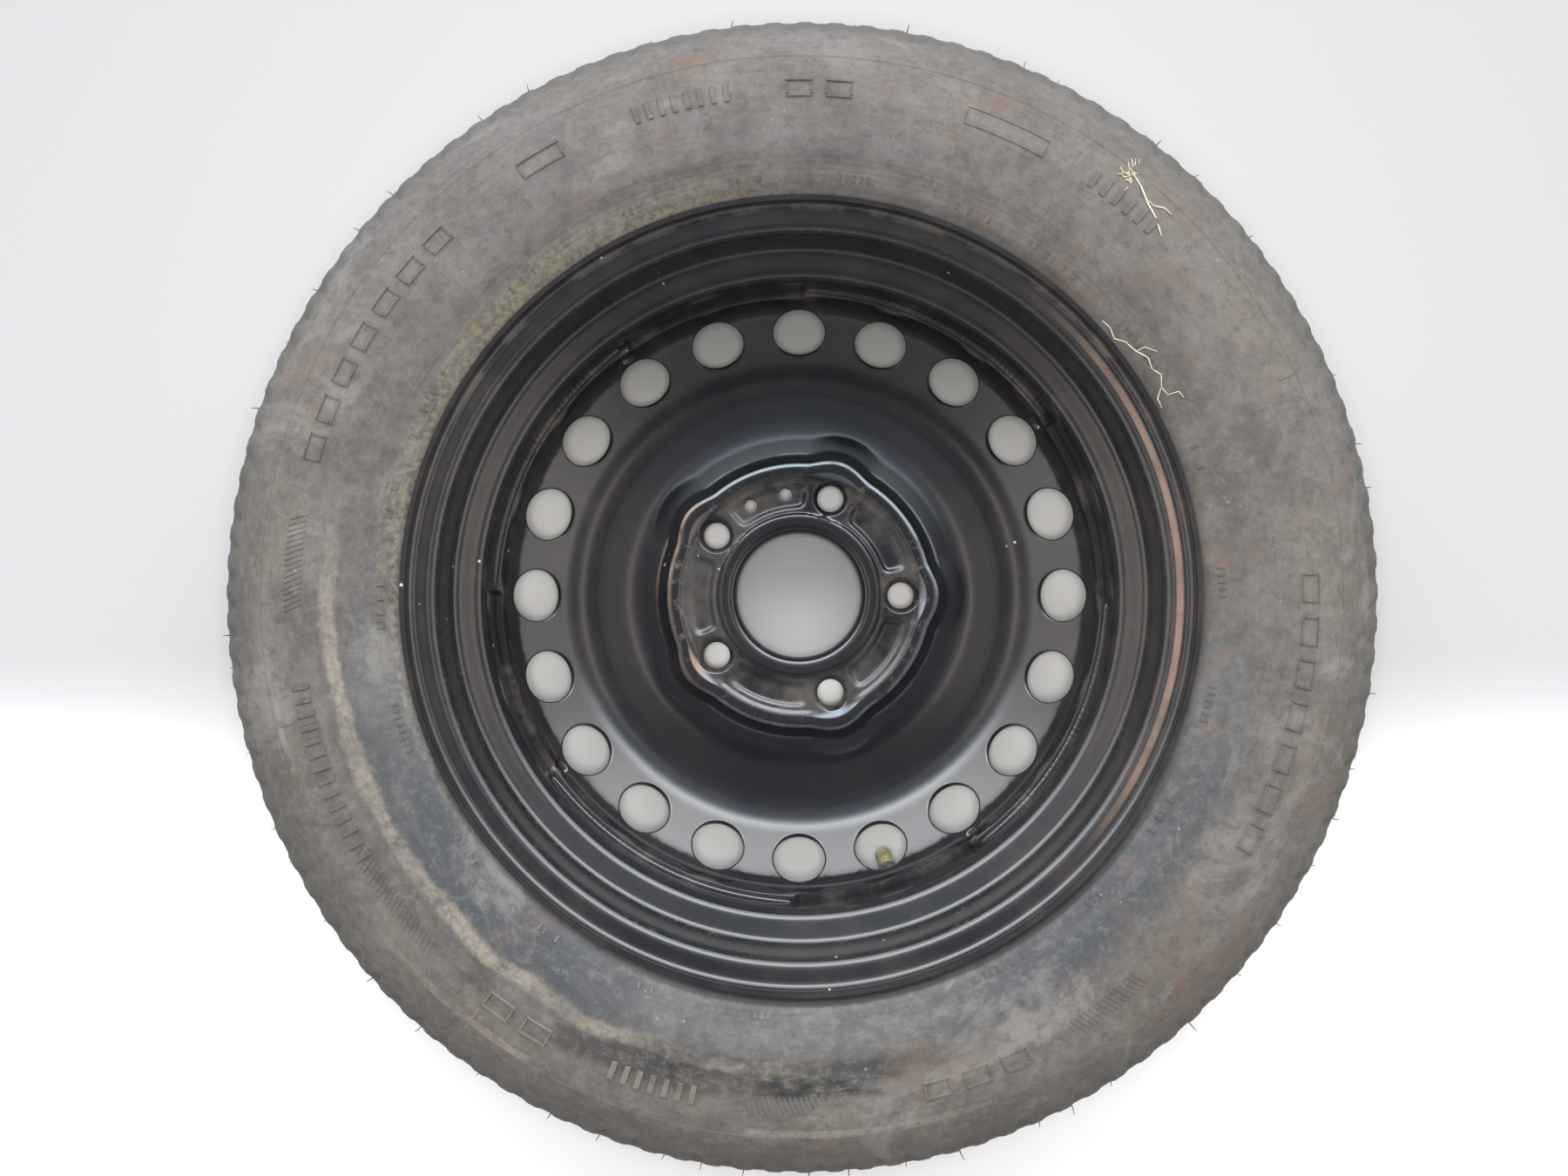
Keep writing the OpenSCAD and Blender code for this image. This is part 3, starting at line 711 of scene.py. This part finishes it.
# drain holes in the skirt
for deg in (36, 126, 216, 306):
    c, ax, e1 = frame_of(rad(deg), 166.7, -11.2, 102)
    ic = col(deg)
    j0 = 1
    j1 = low_row
    holes_in.append(dict(block=(ic - 3, ic + 3, j0, j1), c=c, axis=ax, e1=e1, between=0, rings=edge(5.2, 0.4, 2)))
    holes_out.append(dict(block=(ic - 3, ic + 3, j0, j1), c=c, axis=-ax, e1=e1, between=0, rings=edge(5.2, 0.3, 2)))

b = Builder()
rows_in, ends_in = grid_with_holes(b, S_in, NB, len(disc_in), holes_in)
rows_out, ends_out = grid_with_holes(b, S_out, NB, len(disc_out), holes_out)
for (r0, p0), (r1, p1) in zip(ends_in, ends_out):
    b.quads(r0, r1)
b.quads(rows_in[0], rows_out[0])
b.quads(rows_in[-1], rows_out[-1])
b.mesh("wheel_disc_detailed", PAINT, "wheel", ("wheel_disc",), 48)

# -------------------------------------------------------------- weld beads

b = Builder()
for q in range(4):
    a0, a1 = rad(36.2 + 90 * q), rad(88.6 + 90 * q)
    n = 150
    rng = np.random.default_rng(40 + q)
    rows = []
    for i in range(n + 1):
        th = a0 + (a1 - a0) * i / n
        t = i / n
        ends = math.sqrt(max(0.0, 1 - (2 * t - 1) ** 8)) * 0.9 + 0.1
        ripple = 1 + 0.05 * math.sin(i * 1.9) + 0.02 * rng.standard_normal()
        w = 2.7 * ends * ripple
        zt = float(skirt_top(th)) - 0.1
        prof = []
        for s in np.linspace(0, 1, 7):
            ang = s * math.pi / 2
            prof.append((170.45 - w * math.sin(ang) * 0.95, zt + w * math.cos(ang) * 0.95))
        prof.append((170.45, zt - 0.1))
        rows.append(b.add([(r * math.cos(th), r * math.sin(th), z) for r, z in prof]))
    for r0, r1 in zip(rows[:-1], rows[1:]):
        b.quads(r0, r1)
    b.cap(rows[0])
    b.cap(rows[-1])
b.mesh("weld_beads_detailed", PAINT_RIM, "wheel", ("rim_disc_welds",), 60)

# --------------------------------------------------------------------- tyre

NT = 116 * 6
NOTCH = 116


def tyre_half():
    low = rounded([[188.98, 26.95, 0], [190.5, 44.2, 3, 2], [196.9, 44.2, 0]])
    hug = arc(196.7, 51.95, 7.75, -86, -14, 5)
    side = rounded([
        [206.1, 51.65, 0], [209.6, 55.05, 2.2, 3], [226, 61.8, 30, 4], [250, 63.6, 30, 5], [276, 59.2, 40, 4],
        [296, 43.5, 24, 5], [300.2, 37.85, 2, 2], [302.1, 20, 60, 2], [303, 2.4, 0]])
    return low, hug, side


low, hug, side = tyre_half()
outer = np.vstack([fill_in(low, 12.0), hug[1:], fill_in(side, lambda r, z: 5.5 if r < 284 else (2.9 if z > 30 else 6.0))])
inner = rounded([
    [293.5, 0, 0], [292.5, 24, 60, 1], [286, 42, 24, 2], [268, 53.5, 60, 1], [238, 57.8, 40, 2], [215, 49.5, 24, 1],
    [200, 30.45, 10, 1], [190.7, 25.45, 2, 1], [188.98, 26.95, 0]])
groove_rows = np.array([[303, 2.35], [302.4, 2.2], [299.6, 2.1], [299.4, 1.6], [299.4, -1.6], [299.6, -2.1], [302.4, -2.2], [303, -2.35]])
# order: upper bead toe over the tread to the lower bead toe, then the inside back up
coarse = np.vstack([fill_in(low, 14.0), hug[1::2], fill_in(np.vstack([side[:-1:2], side[-1:]]), lambda r, z: 12.0 if r < 284 else (4.0 if z > 30 else 9.0))])
down = (coarse * [1, -1])[::-1]
inside = np.vstack([(inner * [1, -1])[::-1][1:-1], inner[0:1], inner[1:-1]])
loop = np.vstack([outer, groove_rows[1:-1], down, inside])
n_out = len(outer) + len(groove_rows) - 2 + len(down)

u = np.arange(NT) * TAU / NT
theta = u + 0.008 * np.sin(3 * u + 1.0) + 0.005 * np.sin(7 * u)
seg = np.diff(loop, axis=0, append=loop[:1])
seg = seg / np.maximum(np.linalg.norm(seg, axis=1), 1e-9)[:, None]
nrm = np.stack([seg[:, 1], -seg[:, 0]], 1)
nrm = nrm + np.roll(nrm, 1, axis=0)
nrm = nrm / np.maximum(np.linalg.norm(nrm, axis=1), 1e-9)[:, None]
if nrm[len(outer) // 2][0] < 0:
    nrm = -nrm
b = Builder()
rng = np.random.default_rng(7)
rows = []
phase_u = (u / TAU * NOTCH) % 1.0
phase_d = (u / TAU * NOTCH + 0.5) % 1.0
for j, (r, z) in enumerate(loop):
    d = np.zeros(NT)
    dz = np.zeros(NT)
    if j < n_out:
        az = abs(z)
        ph = phase_u if z > 0 else phase_d
        tri = np.abs(ph - 0.5) * 2
        # V-shaped notches in the shoulder, deep and wide at the tread, ending in a point below it
        t = float(smooth(288.5, 299.5, r)) if az > 34 else 1.0
        if 288.0 < r and az > 24:
            width = 0.16 + 0.44 * t if az > 36 else 0.44 * float(smooth(24, 36, az)) + 0.1
            depth = 1.9 * float(smooth(288.5, 293.5, r)) * (1.0 if az > 36 else float(smooth(25, 33, az)))
            depth *= 1.0 - 0.62 * float(smooth(294.0, 298.0, r))
            d -= depth * (1 - smooth(width - 0.20, width + 0.06, tri))
        # zigzag groove on the tread
        if az < 35:
            zz = 22.5 + 2.4 * (np.abs(((u / TAU * NOTCH / 2) % 1.0) - 0.5) * 4 - 1) * (1 if z > 0 else -1)
            d -= 3.0 * (1 - smooth(1.6, 2.6, np.abs(az - zz)))
        # mould lines and shallow steps on the side wall
        if az > 40:
            d += 0.55 * math.exp(-((r - 277.6) / 1.5) ** 2) + 0.45 * math.exp(-((r - 268.9) / 1.6) ** 2)
            d += 0.35 * math.exp(-((r - 223.5) / 1.8) ** 2)
    rr = r + d * nrm[j][0]
    zz_ = z + d * nrm[j][1]
    rows.append(b.add(np.stack([rr * np.cos(theta), rr * np.sin(theta), zz_ + 0 * theta], 1)))
for j in range(len(rows)):
    b.quads(rows[j], rows[(j + 1) % len(rows)])
b.mesh("tyre_detailed", RUBBER, "wheel", ("tyre",), 42)

# surface of the side wall, for what is raised on it
side_r = outer[:, 0][len(fill_in(low, 9.0)) + 6:]
side_zz = outer[:, 1][len(fill_in(low, 9.0)) + 6:]


def wall_z(r):
    return np.interp(r, side_r[: np.argmax(side_r)], side_zz[: np.argmax(side_r)])


b = Builder()


def raised(r0, r1, a0, a1, h=0.55, up=1, slant=0.0, nr=3, steps=None):
    """A low raised bar on the side wall, between two radii and two angles in degrees."""
    na = steps or max(1, int(abs(a1 - a0) / 1.2))
    def at(s, t, lift):
        r = r0 + (r1 - r0) * s
        a = rad(a0 + (a1 - a0) * t + slant * (s - 0.5))
        z = min(float(wall_z(r)) + lift, 64.05)
        return (r * math.cos(a), r * math.sin(a), z * up)
    e = 0.35
    er, ea = e / max(1e-6, abs(r1 - r0)), e / max(1e-6, abs(a1 - a0) * rad(1) * (r0 + r1) / 2)
    er, ea = min(er, 0.3), min(ea, 0.3)
    ss = [0, er] + [i / nr for i in range(1, nr)] + [1 - er, 1]
    tt = [0, ea] + [i / na for i in range(1, na)] + [1 - ea, 1]
    g = []
    for i, s in enumerate(ss):
        row = []
        for k, t in enumerate(tt):
            rim_ = i in (0, len(ss) - 1) or k in (0, len(tt) - 1)
            row.append(at(s, t, -0.7 if rim_ else h))
        g.append(b.add(row))
    for r_0, r_1 in zip(g[:-1], g[1:]):
        b.quads(r_0, r_1, closed=False)
    # underside, sunk in the wall
    g2 = [b.add([at(s, t, -1.6) for t in tt]) for s in (0, 1)]
    b.quads(g2[0], g2[1], closed=False)
    b.quads(g[0], g2[0], closed=False)
    b.quads(g[-1], g2[1], closed=False)
    left = [x[0] for x in g]
    right = [x[-1] for x in g]
    b.cap(left + [g2[1][0], g2[0][0]])
    b.cap(right + [g2[1][-1], g2[0][-1]])


def block(a0, a1, r0, r1, kind, up=1):
    if kind == "bars":
        n = max(2, int(abs(a1 - a0) / 1.5))
        for i in range(n):
            s = a0 + (a1 - a0) * i / n
            raised(r0, r1, s, s + (a1 - a0) / n * 0.5, 0.75, up)
    elif kind == "hatch":
        n = max(3, int(abs(a1 - a0) / 0.62))
        for i in range(n):
            s = a0 + (a1 - a0) * i / n
            raised(r0, r1, s, s + (a1 - a0) / n * 0.42, 0.35, up, 0.9, 2)
    elif kind == "frame":
        w = 0.9
        da = math.degrees(w / ((r0 + r1) / 2))
        raised(r0, r0 + w, a0, a1, 0.4, up, nr=1)
        raised(r1 - w, r1, a0, a1, 0.4, up, nr=1)
        raised(r0 + w, r1 - w, a0, a0 + da, 0.4, up, nr=2, steps=1)
        raised(r0 + w, r1 - w, a1 - da, a1, 0.4, up, nr=2, steps=1)
    elif kind == "pads":
        n = max(1, int(abs(a1 - a0) / 4.4))
        for i in range(n):
            s = a0 + (a1 - a0) * i / n
            e0, e1, w = s, s + (a1 - a0) / n * 0.7, 1.5
            da = math.degrees(w / ((r0 + r1) / 2))
            raised(r0, r0 + w, e0, e1, 0.75, up, nr=1)
            raised(r1 - w, r1, e0, e1, 0.75, up, nr=1)
            raised(r0 + w, r1 - w, e0, e0 + da, 0.75, up, nr=2, steps=1)
            raised(r0 + w, r1 - w, e1 - da, e1, 0.75, up, nr=2, steps=1)

for up in (1, -1):
    rng = np.random.default_rng(11 if up == 1 else 12)
    for (a0, a1, kind) in ((98, 110, "bars"), (84, 93, "pads"), (61, 71, "frame"), (46, 56, "bars"), (-30, 4, "pads"),
                           (-58, -48, "hatch"), (-76, -62, "pads"), (-96, -84, "hatch"), (-112, -101, "bars"), (-128, -118, "pads"),
                           (-150, -136, "hatch"), (-166, -158, "bars"), (134, 166, "pads"), (171, 182, "hatch"), (190, 212, "bars"), (118, 126, "pads")):
        block(a0, a1, 249.5, 259.5, kind, up)
    for k in range(22):
        a0 = -180 + k * 16.3 + float(rng.uniform(-2, 2))
        w = float(rng.uniform(4, 10))
        n = int(w / 0.95)
        for i in range(n):
            if rng.uniform() < 0.2:
                continue
            s = a0 + i * 0.95
            raised(210.6, 214.4, s, s + float(rng.uniform(0.35, 0.62)), 0.50, up, 0.0, 1, 1)
    # two narrow ribs that run around
    for (q0, q1) in ((271.6, 272.6),):
        for i in range(24):
            raised(q0, q1, i * 15, i * 15 + 15.01, 0.22, up, nr=1, steps=8)
    raised(262.0, 274.0, 24.0, 24.35, 0.3, up, nr=3, steps=1)
    raised(262.0, 276.0, -128.0, -127.6, 0.3, up, nr=3, steps=1)
    raised(262.0, 276.0, -166.0, -165.6, 0.3, up, nr=3, steps=1)
marks = b.mesh("side_wall_raised_marks", RUBBER_MARKS, "wheel", (), 30)

# thin rubber hairs left by the mould
b = Builder()
rng = np.random.default_rng(5)
a = -176.0
while a < 180:
    th = rad(a)
    reach = 303.0 / max(abs(math.cos(th)), abs(math.sin(th))) - 0.05
    length = float(rng.uniform(1.6, 4.6))
    z0 = float(rng.uniform(26, 38))
    for up in (1, -1):
        base_r = 299.5
        tip = min(base_r + 2.2 + length, reach)
        n = 5
        lean = float(rng.uniform(-0.8, 0.8))
        rings = []
        for s in (0.0, 0.55, 1.0):
            r = base_r + (tip - base_r) * s
            w = 0.42 * (1 - 0.55 * s)
            c = np.array([r * math.cos(th + lean * s * s * 0.006), r * math.sin(th + lean * s * s * 0.006), up * (z0 + lean * s * s)])
            t1 = np.array([-math.sin(th), math.cos(th), 0])
            t2 = np.array([0, 0, 1.0])
            rings.append(b.add([c + w * (math.cos(q) * t1 + math.sin(q) * t2) for q in np.arange(n) * TAU / n]))
        for r0, r1 in zip(rings[:-1], rings[1:]):
            b.quads(r0, r1)
        b.cap(rings[0])
        b.cap(rings[-1])
    a += float(rng.uniform(3.2, 8.5))
b.mesh("mould_hairs", RUBBER, "wheel", (), 0)

# ------------------------------------------------------------ dry plant bits

b = Builder()


def strand(points, width):
    pts = np.array(points, float)
    k = np.linspace(0, len(pts) - 1, 4 * (len(pts) - 1) + 1)
    path = np.stack([np.interp(k, np.arange(len(pts)), pts[:, q]) for q in range(2)], 1)
    rows = []
    for i, (x, y) in enumerate(path):
        r = math.hypot(x, y)
        z = min(float(wall_z(r)) + 0.4, 64.0 - 0.7 * width)
        d = path[min(i + 1, len(path) - 1)] - path[max(i - 1, 0)]
        d = d / max(1e-6, np.linalg.norm(d))
        t1 = np.array([-d[1], d[0], 0])
        t2 = np.array([0, 0, 1.0])
        w = width * (0.35 + 0.65 * math.sin(math.pi * (0.12 + 0.8 * i / len(path))))
        rows.append(b.add([np.array([x, y, z]) + w * (math.cos(q) * t1 + math.sin(q) * t2 * 0.7) for q in np.arange(5) * TAU / 5]))
    for r0, r1 in zip(rows[:-1], rows[1:]):
        b.quads(r0, r1)
    b.cap(rows[0])
    b.cap(rows[-1])


def from_px(px, py, depth=-8.5):
    s = 1290 / (569.4 + depth)
    return ((px - 918.3) / s, (683.6 - py) / s)


strand([from_px(*q) for q in ((1302, 196), (1311, 212), (1318, 232), (1327, 250), (1333, 272))], 0.55)
strand([from_px(*q) for q in ((1317, 228), (1326, 236), (1338, 238), (1347, 246))], 0.4)
strand([from_px(*q) for q in ((1270, 364), (1279, 372), (1284, 385), (1297, 389), (1309, 400), (1322, 408), (1327, 421), (1337, 428), (1338, 442), (1345, 451))], 0.34)
strand([from_px(*q) for q in ((1338, 442), (1334, 455), (1339, 466))], 0.30)
strand([from_px(*q) for q in ((1309, 400), (1318, 396), (1331, 402))], 0.24)
strand([from_px(*q) for q in ((1345, 451), (1356, 448), (1362, 455))], 0.26)
rng = np.random.default_rng(3)
for i in range(26):
    cx, cy = 1300 + rng.normal(0, 5), 197 + rng.normal(0, 5)
    an = rng.uniform(0, TAU)
    ln = rng.uniform(4, 11)
    strand([from_px(cx, cy), from_px(cx + ln * 0.5 * math.cos(an), cy + ln * 0.5 * math.sin(an) + 1),
            from_px(cx + ln * math.cos(an), cy + ln * math.sin(an))], 0.22)
b.mesh("dry_plant_bits", STRAW, "wheel", (), 0)

# --------------------------------------------- pieces shown as they are built

SAME = {"valve_body": VALVE_RUBBER, "valve_stem": BRASS, "valve_core_plug": BRASS, "valve_core_gasket": GASKET,
        "valve_core_barrel": BRASS, "valve_core_pin": BRASS, "valve_core_spring": SPRING, "valve_core_cup": VALVE_RUBBER,
        "valve_cap": CAP, "valve_cap_seal": VALVE_RUBBER}
for name, material in SAME.items():
    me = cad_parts[name].data
    me.materials.clear()
    me.materials.append(material)

# -------------------------------------------------------------- stage, light

def sheet(name, size, z, material):
    me = bpy.data.meshes.new(name)
    s = size / 2
    me.from_pydata([(-s, -s, z), (s, -s, z), (s, s, z), (-s, s, z)], [], [(0, 1, 2, 3)])
    me.materials.append(material)
    o = bpy.data.objects.new(name, me)
    bpy.context.scene.collection.objects.link(o)
    return o


k = Nodes("pale_floor")
floor_r, _, _ = k.polar()
floor_y = k.split()[1]
# painted shade and light on the floor: under the wheel it is darker towards +Y and darkest below the bore, outside the
# wheel darker towards +Y and lighter towards -Y
inside = k.mix(k.ramp(floor_y, 0.160, 0.030), (0.36, 0.357, 0.342), (0.72, 0.715, 0.700))
inside = k.mix(k.ramp(floor_r, 43.0, 50.0), (0.34, 0.339, 0.335), inside)
outside = k.mix(k.ramp(floor_y, -0.03, -0.14), (0.50, 0.498, 0.495), (0.86, 0.858, 0.855))
k.set("Base Color", k.mix(k.ramp(floor_r, 205.0, 300.0), inside, outside))
k.set("Roughness", 0.85)
k.set("Specular IOR Level", 0.1)
sheet("floor", 9.0, -0.0642, k.m)


def area(name, at, towards, sx, sy, power, colour, glossy=True):
    li = bpy.data.lights.new(name, "AREA")
    li.shape = "RECTANGLE"
    li.size, li.size_y = sx, sy
    li.energy = power
    li.color = colour
    o = bpy.data.objects.new(name, li)
    bpy.context.scene.collection.objects.link(o)
    o.location = at
    o.rotation_mode = "QUATERNION"
    o.rotation_quaternion = (Vector(towards) - Vector(at)).to_track_quat("-Z", "Y")
    o.visible_glossy = glossy
    return o


area("front", (0.0, 0.12, 1.25), (0, 0, 0), 1.0, 1.0, 1.0, (1.0, 0.955, 0.91), False)
area("near", (-0.003, -0.02, 0.66), (-0.003, -0.02, 0), 0.16, 0.16, 3.3, (1.0, 0.980, 0.955), False)

world = bpy.data.worlds.new("room")
bpy.context.scene.world = world
world.use_nodes = True
wt = world.node_tree
wt.nodes.clear()
wo = wt.nodes.new("ShaderNodeOutputWorld")
bg = wt.nodes.new("ShaderNodeBackground")
tc = wt.nodes.new("ShaderNodeTexCoord")
sp = wt.nodes.new("ShaderNodeSeparateXYZ")
wt.links.new(tc.outputs["Generated"], sp.inputs[0])


def wmath(op, a, b_=0.0, c=0.0):
    n = wt.nodes.new("ShaderNodeMath")
    n.operation = op
    for s, q in zip(n.inputs, (a, b_, c)):
        if isinstance(q, bpy.types.NodeSocket):
            wt.links.new(q, s)
        else:
            s.default_value = q
    return n.outputs[0]


def wrange(x, a, b_, lo, hi):
    n = wt.nodes.new("ShaderNodeMapRange")
    n.interpolation_type = "SMOOTHSTEP"
    wt.links.new(x, n.inputs["Value"])
    for s, q in zip(("From Min", "From Max", "To Min", "To Max"), (a, b_, lo, hi)):
        n.inputs[s].default_value = q
    return n.outputs[0]


def wramp(x, stops):
    """Colour by angle from straight up, in degrees; colours may be brighter than 1."""
    n = wt.nodes.new("ShaderNodeValToRGB")
    wt.links.new(wmath("DIVIDE", x, 90.0), n.inputs[0])
    e = n.color_ramp.elements
    while len(e) > 1:
        e.remove(e[-1])
    top = max(max(c) for _, c in stops)
    e[0].position = stops[0][0] / 90
    e[0].color = (*(q / top for q in stops[0][1]), 1)
    for at, c in stops[1:]:
        k_ = e.new(at / 90)
        k_.color = (*(q / top for q in c), 1)
    m = wt.nodes.new("ShaderNodeVectorMath")
    m.operation = "SCALE"
    wt.links.new(n.outputs[0], m.inputs[0])
    m.inputs["Scale"].default_value = top
    return m.outputs[0]


def wmix(f, a, b_):
    n = wt.nodes.new("ShaderNodeMix")
    n.data_type = "RGBA"
    wt.links.new(f, n.inputs["Factor"])
    ab = [s for s in n.inputs if s.type == "RGBA"]
    for s, q in zip(ab, (a, b_)):
        wt.links.new(q, s)
    return [s for s in n.outputs if s.type == "RGBA"][0]


dx, dy, dz = sp.outputs
polar_angle = wmath("DEGREES", wmath("ARCCOSINE", dz))
flat = wmath("SQRT", wmath("ADD", wmath("ADD", wmath("MULTIPLY", dx, dx), wmath("MULTIPLY", dy, dy)), 1e-6))
north = wmath("DIVIDE", dy, flat)
east = wmath("DIVIDE", dx, flat)
sides = wramp(polar_angle, [(0, (0.26, 0.26, 0.28)), (11, (0.22, 0.22, 0.23)), (19, (0.80, 0.73, 0.69)), (24, (1.90, 1.55, 1.35)), (30, (0.70, 0.66, 0.66)),
                            (40, (0.26, 0.27, 0.30)), (54, (0.50, 0.52, 0.56)), (63, (1.6, 1.52, 1.48)), (76, (1.4, 1.3, 1.22)), (90, (1.1, 1.02, 0.96))])
above = wramp(polar_angle, [(0, (0.26, 0.26, 0.28)), (12, (0.18, 0.19, 0.21)), (21, (0.50, 0.56, 0.68)), (29, (0.50, 0.57, 0.70)), (40, (0.95, 1.10, 1.38)),
                            (48, (3.9, 4.3, 4.8)), (54, (8.2, 8.5, 8.8)), (62, (6.4, 6.55, 6.7)), (70, (3.6, 3.7, 3.8)), (80, (3.0, 3.1, 3.2)), (86, (2.4, 2.45, 2.5)),
                            (90, (1.4, 1.4, 1.4))])
below = wramp(polar_angle, [(0, (0.26, 0.26, 0.28)), (14, (0.22, 0.22, 0.23)), (21, (0.22, 0.21, 0.21)), (29, (0.08, 0.08, 0.09)), (50, (0.12, 0.12, 0.14)),
                            (64, (0.32, 0.32, 0.33)), (78, (0.6, 0.6, 0.6)), (90, (0.9, 0.9, 0.9))])
room = wmix(wrange(north, 0.25, 0.92, 0.0, 1.0), sides, above)
room = wmix(wrange(north, -0.35, -0.92, 0.0, 1.0), room, below)
wt.links.new(room, bg.inputs["Color"])
bg.inputs["Strength"].default_value = 1.0
wt.links.new(bg.outputs[0], wo.inputs[0])

scene = bpy.context.scene
scene.view_settings.view_transform = "Standard"
scene.view_settings.look = "None"
scene.view_settings.exposure = 0.0
scene.view_settings.gamma = 1.0

cam_data = bpy.data.cameras.new("camera")
cam_data.lens = 25.8
cam_data.sensor_width = 36.0
cam_data.clip_start = 0.01
cam_data.clip_end = 50.0
cam = bpy.data.objects.new("camera", cam_data)
scene.collection.objects.link(cam)
cam.location = (-0.0034, -0.0005, 0.6239)
cam.rotation_euler = (0.00736, 0.00822, 0.0)
scene.camera = cam
